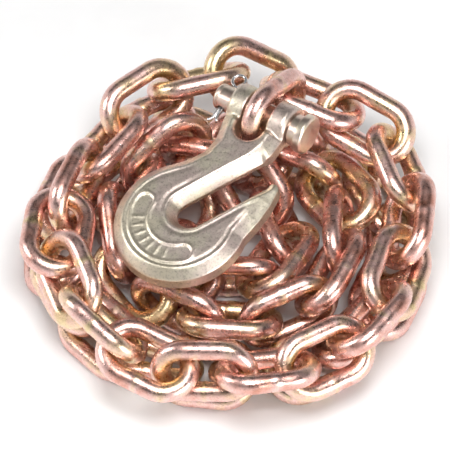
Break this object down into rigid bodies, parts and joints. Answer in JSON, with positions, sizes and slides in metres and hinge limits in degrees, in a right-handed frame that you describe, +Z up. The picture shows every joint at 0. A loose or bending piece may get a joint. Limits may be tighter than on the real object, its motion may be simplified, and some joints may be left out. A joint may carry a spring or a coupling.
{
  "type": "load binder chain",
  "caption": "Coiled steel transport chain with a clevis grab hook, its pin and cotter, on the outer end.",
  "frame": {"origin": "on the ground under the middle of the coil's box", "axes": "+Z up; -Y is the side the hook's bowl points to, +X is the side the pin's head points to"},
  "size_m": [0.1946, 0.1934, 0.0785],
  "materials": {
    "chain_zinc": "satin",
    "forged_zinc": "satin",
    "pin_zinc": "satin",
    "cotter_wire": "polished"
  },
  "bodies": {
    "coil": {"upper_link_01": "chain_zinc", "upper_link_18": "chain_zinc", "lower_link_01": "chain_zinc", "lower_link_02": "chain_zinc", "lower_link_03": "chain_zinc", "lower_link_04": "chain_zinc", "lower_link_05": "chain_zinc", "lower_link_06": "chain_zinc", "lower_link_07": "chain_zinc", "lower_link_08": "chain_zinc", "lower_link_09": "chain_zinc", "lower_link_10": "chain_zinc", "lower_link_11": "chain_zinc", "lower_link_12": "chain_zinc", "lower_link_13": "chain_zinc", "lower_link_14": "chain_zinc", "lower_link_15": "chain_zinc", "lower_link_16": "chain_zinc", "second_link_01": "chain_zinc", "inner_link_02": "chain_zinc", "inner_link_04": "chain_zinc", "inner_link_05": "chain_zinc", "inner_link_06": "chain_zinc"},
    "lead_link_02": {"lead_link_02": "chain_zinc"},
    "lead_link_01": {"lead_link_01": "chain_zinc"},
    "hook": {"grab_hook": "forged_zinc"},
    "pin": {"clevis_pin": "pin_zinc"},
    "cotter": {"cotter_pin": "cotter_wire"},
    "upper_link_02": {"upper_link_02": "chain_zinc"},
    "upper_link_03": {"upper_link_03": "chain_zinc"},
    "upper_link_04": {"upper_link_04": "chain_zinc"},
    "upper_link_05": {"upper_link_05": "chain_zinc"},
    "upper_link_06": {"upper_link_06": "chain_zinc"},
    "upper_link_07": {"upper_link_07": "chain_zinc"},
    "upper_link_08": {"upper_link_08": "chain_zinc"},
    "upper_link_09": {"upper_link_09": "chain_zinc"},
    "upper_link_10": {"upper_link_10": "chain_zinc"},
    "upper_link_11": {"upper_link_11": "chain_zinc"},
    "upper_link_12": {"upper_link_12": "chain_zinc"},
    "upper_link_13": {"upper_link_13": "chain_zinc"},
    "upper_link_14": {"upper_link_14": "chain_zinc"},
    "upper_link_15": {"upper_link_15": "chain_zinc"},
    "upper_link_16": {"upper_link_16": "chain_zinc"},
    "upper_link_17": {"upper_link_17": "chain_zinc"},
    "lower_link_17": {"lower_link_17": "chain_zinc"},
    "second_link_02": {"second_link_02": "chain_zinc"},
    "second_link_03": {"second_link_03": "chain_zinc"},
    "second_link_04": {"second_link_04": "chain_zinc"},
    "second_link_05": {"second_link_05": "chain_zinc"},
    "second_link_06": {"second_link_06": "chain_zinc"},
    "second_link_07": {"second_link_07": "chain_zinc"},
    "second_link_08": {"second_link_08": "chain_zinc"},
    "second_link_09": {"second_link_09": "chain_zinc"},
    "second_link_10": {"second_link_10": "chain_zinc"},
    "second_link_11": {"second_link_11": "chain_zinc"},
    "second_link_12": {"second_link_12": "chain_zinc"},
    "inner_link_01": {"inner_link_01": "chain_zinc"},
    "inner_link_03": {"inner_link_03": "chain_zinc"}
  },
  "joints": [
    {"name": "lead_lift_2", "type": "hinge", "parent": "coil", "child": "lead_link_02", "pos_m": [0.04705, 0.06105, 0.04824], "axis": [0.1196, 0.8582, 0.4992], "range_deg": [0, 8]},
    {"name": "lead_lift_1", "type": "hinge", "parent": "lead_link_02", "child": "lead_link_01", "pos_m": [0.02718, 0.06688, 0.05092], "axis": [-0.8056, 0.0108, -0.5924], "range_deg": [0, 17]},
    {"name": "hook_swing", "type": "hinge", "parent": "lead_link_01", "child": "hook", "pos_m": [0.01689, 0.04378, 0.06199], "axis": [-0.8357, 0.5394, -0.1035], "range_deg": [0, 120]},
    {"name": "pin_turn", "type": "hinge", "parent": "hook", "child": "pin", "pos_m": [0.01689, 0.04378, 0.06199], "axis": [0.8357, -0.5394, 0.1035], "continuous": true},
    {"name": "cotter_turn", "type": "hinge", "parent": "pin", "child": "cotter", "pos_m": [-0.00033, 0.05489, 0.05986], "axis": [0.5248, 0.8398, 0.1392], "range_deg": [-20, 20]},
    {"name": "upper_link_02_rock", "type": "hinge", "parent": "coil", "child": "upper_link_02", "pos_m": [0.08075, 0.03029, 0.03759], "axis": [0.339, -0.9351, -0.1033], "range_deg": [-3.5, 3.5]},
    {"name": "upper_link_03_rock", "type": "hinge", "parent": "coil", "child": "upper_link_03", "pos_m": [0.084, 0.00144, 0.03642], "axis": [-0.1004, -0.9924, -0.0706], "range_deg": [-7.5, 4.5]},
    {"name": "upper_link_04_rock", "type": "hinge", "parent": "coil", "child": "upper_link_04", "pos_m": [0.0782, -0.02627, 0.03451], "axis": [-0.3142, -0.949, -0.026], "range_deg": [-7.5, 7.5]},
    {"name": "upper_link_05_rock", "type": "hinge", "parent": "coil", "child": "upper_link_05", "pos_m": [0.06525, -0.0512, 0.03379], "axis": [-0.622, -0.7807, -0.0591], "range_deg": [-2.5, 6]},
    {"name": "upper_link_06_rock", "type": "hinge", "parent": "coil", "child": "upper_link_06", "pos_m": [0.04462, -0.07106, 0.03049], "axis": [-0.8761, -0.4822, 0.0003], "range_deg": [-7.5, 2]},
    {"name": "upper_link_07_rock", "type": "hinge", "parent": "coil", "child": "upper_link_07", "pos_m": [0.01807, -0.08002, 0.03384], "axis": [-0.9711, -0.2126, 0.1087], "range_deg": [-2, 2]},
    {"name": "upper_link_08_rock", "type": "hinge", "parent": "coil", "child": "upper_link_08", "pos_m": [-0.01103, -0.08062, 0.03463], "axis": [-0.9929, 0.0805, -0.088], "range_deg": [-3, 2]},
    {"name": "upper_link_09_rock", "type": "hinge", "parent": "coil", "child": "upper_link_09", "pos_m": [-0.03716, -0.07495, 0.03519], "axis": [-0.8887, 0.4466, 0.1038], "range_deg": [-2, 3]},
    {"name": "upper_link_10_rock", "type": "hinge", "parent": "coil", "child": "upper_link_10", "pos_m": [-0.05835, -0.0579, 0.03903], "axis": [-0.7112, 0.6855, 0.1561], "range_deg": [-4, 2]},
    {"name": "upper_link_11_rock", "type": "hinge", "parent": "coil", "child": "upper_link_11", "pos_m": [-0.07371, -0.03388, 0.04012], "axis": [-0.3491, 0.9351, 0.0606], "range_deg": [-2, 3]},
    {"name": "upper_link_12_rock", "type": "hinge", "parent": "coil", "child": "upper_link_12", "pos_m": [-0.07942, -0.00814, 0.04086], "axis": [0.121, 0.992, -0.0364], "range_deg": [-2.5, 3]},
    {"name": "upper_link_13_rock", "type": "hinge", "parent": "coil", "child": "upper_link_13", "pos_m": [-0.07082, 0.01857, 0.03974], "axis": [0.3789, 0.9254, -0.0058], "range_deg": [-4, 3]},
    {"name": "upper_link_14_rock", "type": "hinge", "parent": "coil", "child": "upper_link_14", "pos_m": [-0.05766, 0.04344, 0.03869], "axis": [0.6215, 0.7788, 0.0853], "range_deg": [-2.5, 4]},
    {"name": "upper_link_15_rock", "type": "hinge", "parent": "coil", "child": "upper_link_15", "pos_m": [-0.03842, 0.06542, 0.04188], "axis": [0.7916, 0.6101, 0.0339], "range_deg": [-4.5, 7.5]},
    {"name": "upper_link_16_rock", "type": "hinge", "parent": "coil", "child": "upper_link_16", "pos_m": [-0.01396, 0.07724, 0.0425], "axis": [0.9764, 0.1878, 0.1069], "range_deg": [-7.5, 7.5]},
    {"name": "upper_link_17_rock", "type": "hinge", "parent": "coil", "child": "upper_link_17", "pos_m": [0.01158, 0.08134, 0.03964], "axis": [0.8616, -0.1267, -0.4915], "range_deg": [0, 7.5]},
    {"name": "lower_link_17_rock", "type": "hinge", "parent": "coil", "child": "lower_link_17", "pos_m": [0.00898, 0.05609, 0.01335], "axis": [0.7857, -0.6112, 0.0955], "range_deg": [-2, 2.5]},
    {"name": "second_link_02_rock", "type": "hinge", "parent": "coil", "child": "second_link_02", "pos_m": [0.05179, 0.02524, 0.02519], "axis": [0.5395, -0.8267, 0.1595], "range_deg": [-6, 5.5]},
    {"name": "second_link_03_rock", "type": "hinge", "parent": "coil", "child": "second_link_03", "pos_m": [0.05242, 0.00066, 0.02689], "axis": [-0.0439, -0.9903, 0.1316], "range_deg": [-3, 7.5]},
    {"name": "second_link_04_rock", "type": "hinge", "parent": "coil", "child": "second_link_04", "pos_m": [0.0477, -0.02413, 0.0312], "axis": [-0.4365, -0.8976, -0.0621], "range_deg": [-4, 2]},
    {"name": "second_link_05_rock", "type": "hinge", "parent": "coil", "child": "second_link_05", "pos_m": [0.02767, -0.03956, 0.02168], "axis": [-0.9144, -0.3693, -0.1661], "range_deg": [-3.5, 4.5]},
    {"name": "second_link_06_rock", "type": "hinge", "parent": "coil", "child": "second_link_06", "pos_m": [0.0006, -0.04504, 0.0226], "axis": [-0.998, 0.0634, 0.0038], "range_deg": [-6.5, 2.5]},
    {"name": "second_link_07_rock", "type": "hinge", "parent": "coil", "child": "second_link_07", "pos_m": [-0.02309, -0.03601, 0.01952], "axis": [-0.8806, 0.4738, 0.0049], "range_deg": [-2.5, 4.5]},
    {"name": "second_link_08_rock", "type": "hinge", "parent": "coil", "child": "second_link_08", "pos_m": [-0.04359, -0.02184, 0.01885], "axis": [-0.5932, 0.7974, 0.1111], "range_deg": [-3.5, 4.5]},
    {"name": "second_link_09_rock", "type": "hinge", "parent": "coil", "child": "second_link_09", "pos_m": [-0.05149, 0.00316, 0.024], "axis": [-0.1236, 0.953, 0.2767], "range_deg": [-7.5, 3.5]},
    {"name": "second_link_10_rock", "type": "hinge", "parent": "coil", "child": "second_link_10", "pos_m": [-0.04707, 0.0277, 0.02088], "axis": [0.4552, 0.8834, -0.1113], "range_deg": [-4, 5.5]},
    {"name": "second_link_11_rock", "type": "hinge", "parent": "coil", "child": "second_link_11", "pos_m": [-0.02936, 0.04341, 0.03005], "axis": [0.7351, 0.4933, 0.4651], "range_deg": [-3, 1.5]},
    {"name": "second_link_12_rock", "type": "hinge", "parent": "coil", "child": "second_link_12", "pos_m": [-0.01076, 0.0431, 0.0273], "axis": [0.7713, -0.4659, 0.4335], "range_deg": [-4, 4]},
    {"name": "inner_link_01_rock", "type": "hinge", "parent": "coil", "child": "inner_link_01", "pos_m": [0.01008, 0.02968, 0.02476], "axis": [0.5303, -0.6746, -0.5135], "range_deg": [-5, 3]},
    {"name": "inner_link_03_rock", "type": "hinge", "parent": "coil", "child": "inner_link_03", "pos_m": [0.02296, -0.01141, 0.02246], "axis": [-0.5332, -0.8447, 0.0479], "range_deg": [-1, 1.5]}
  ]
}
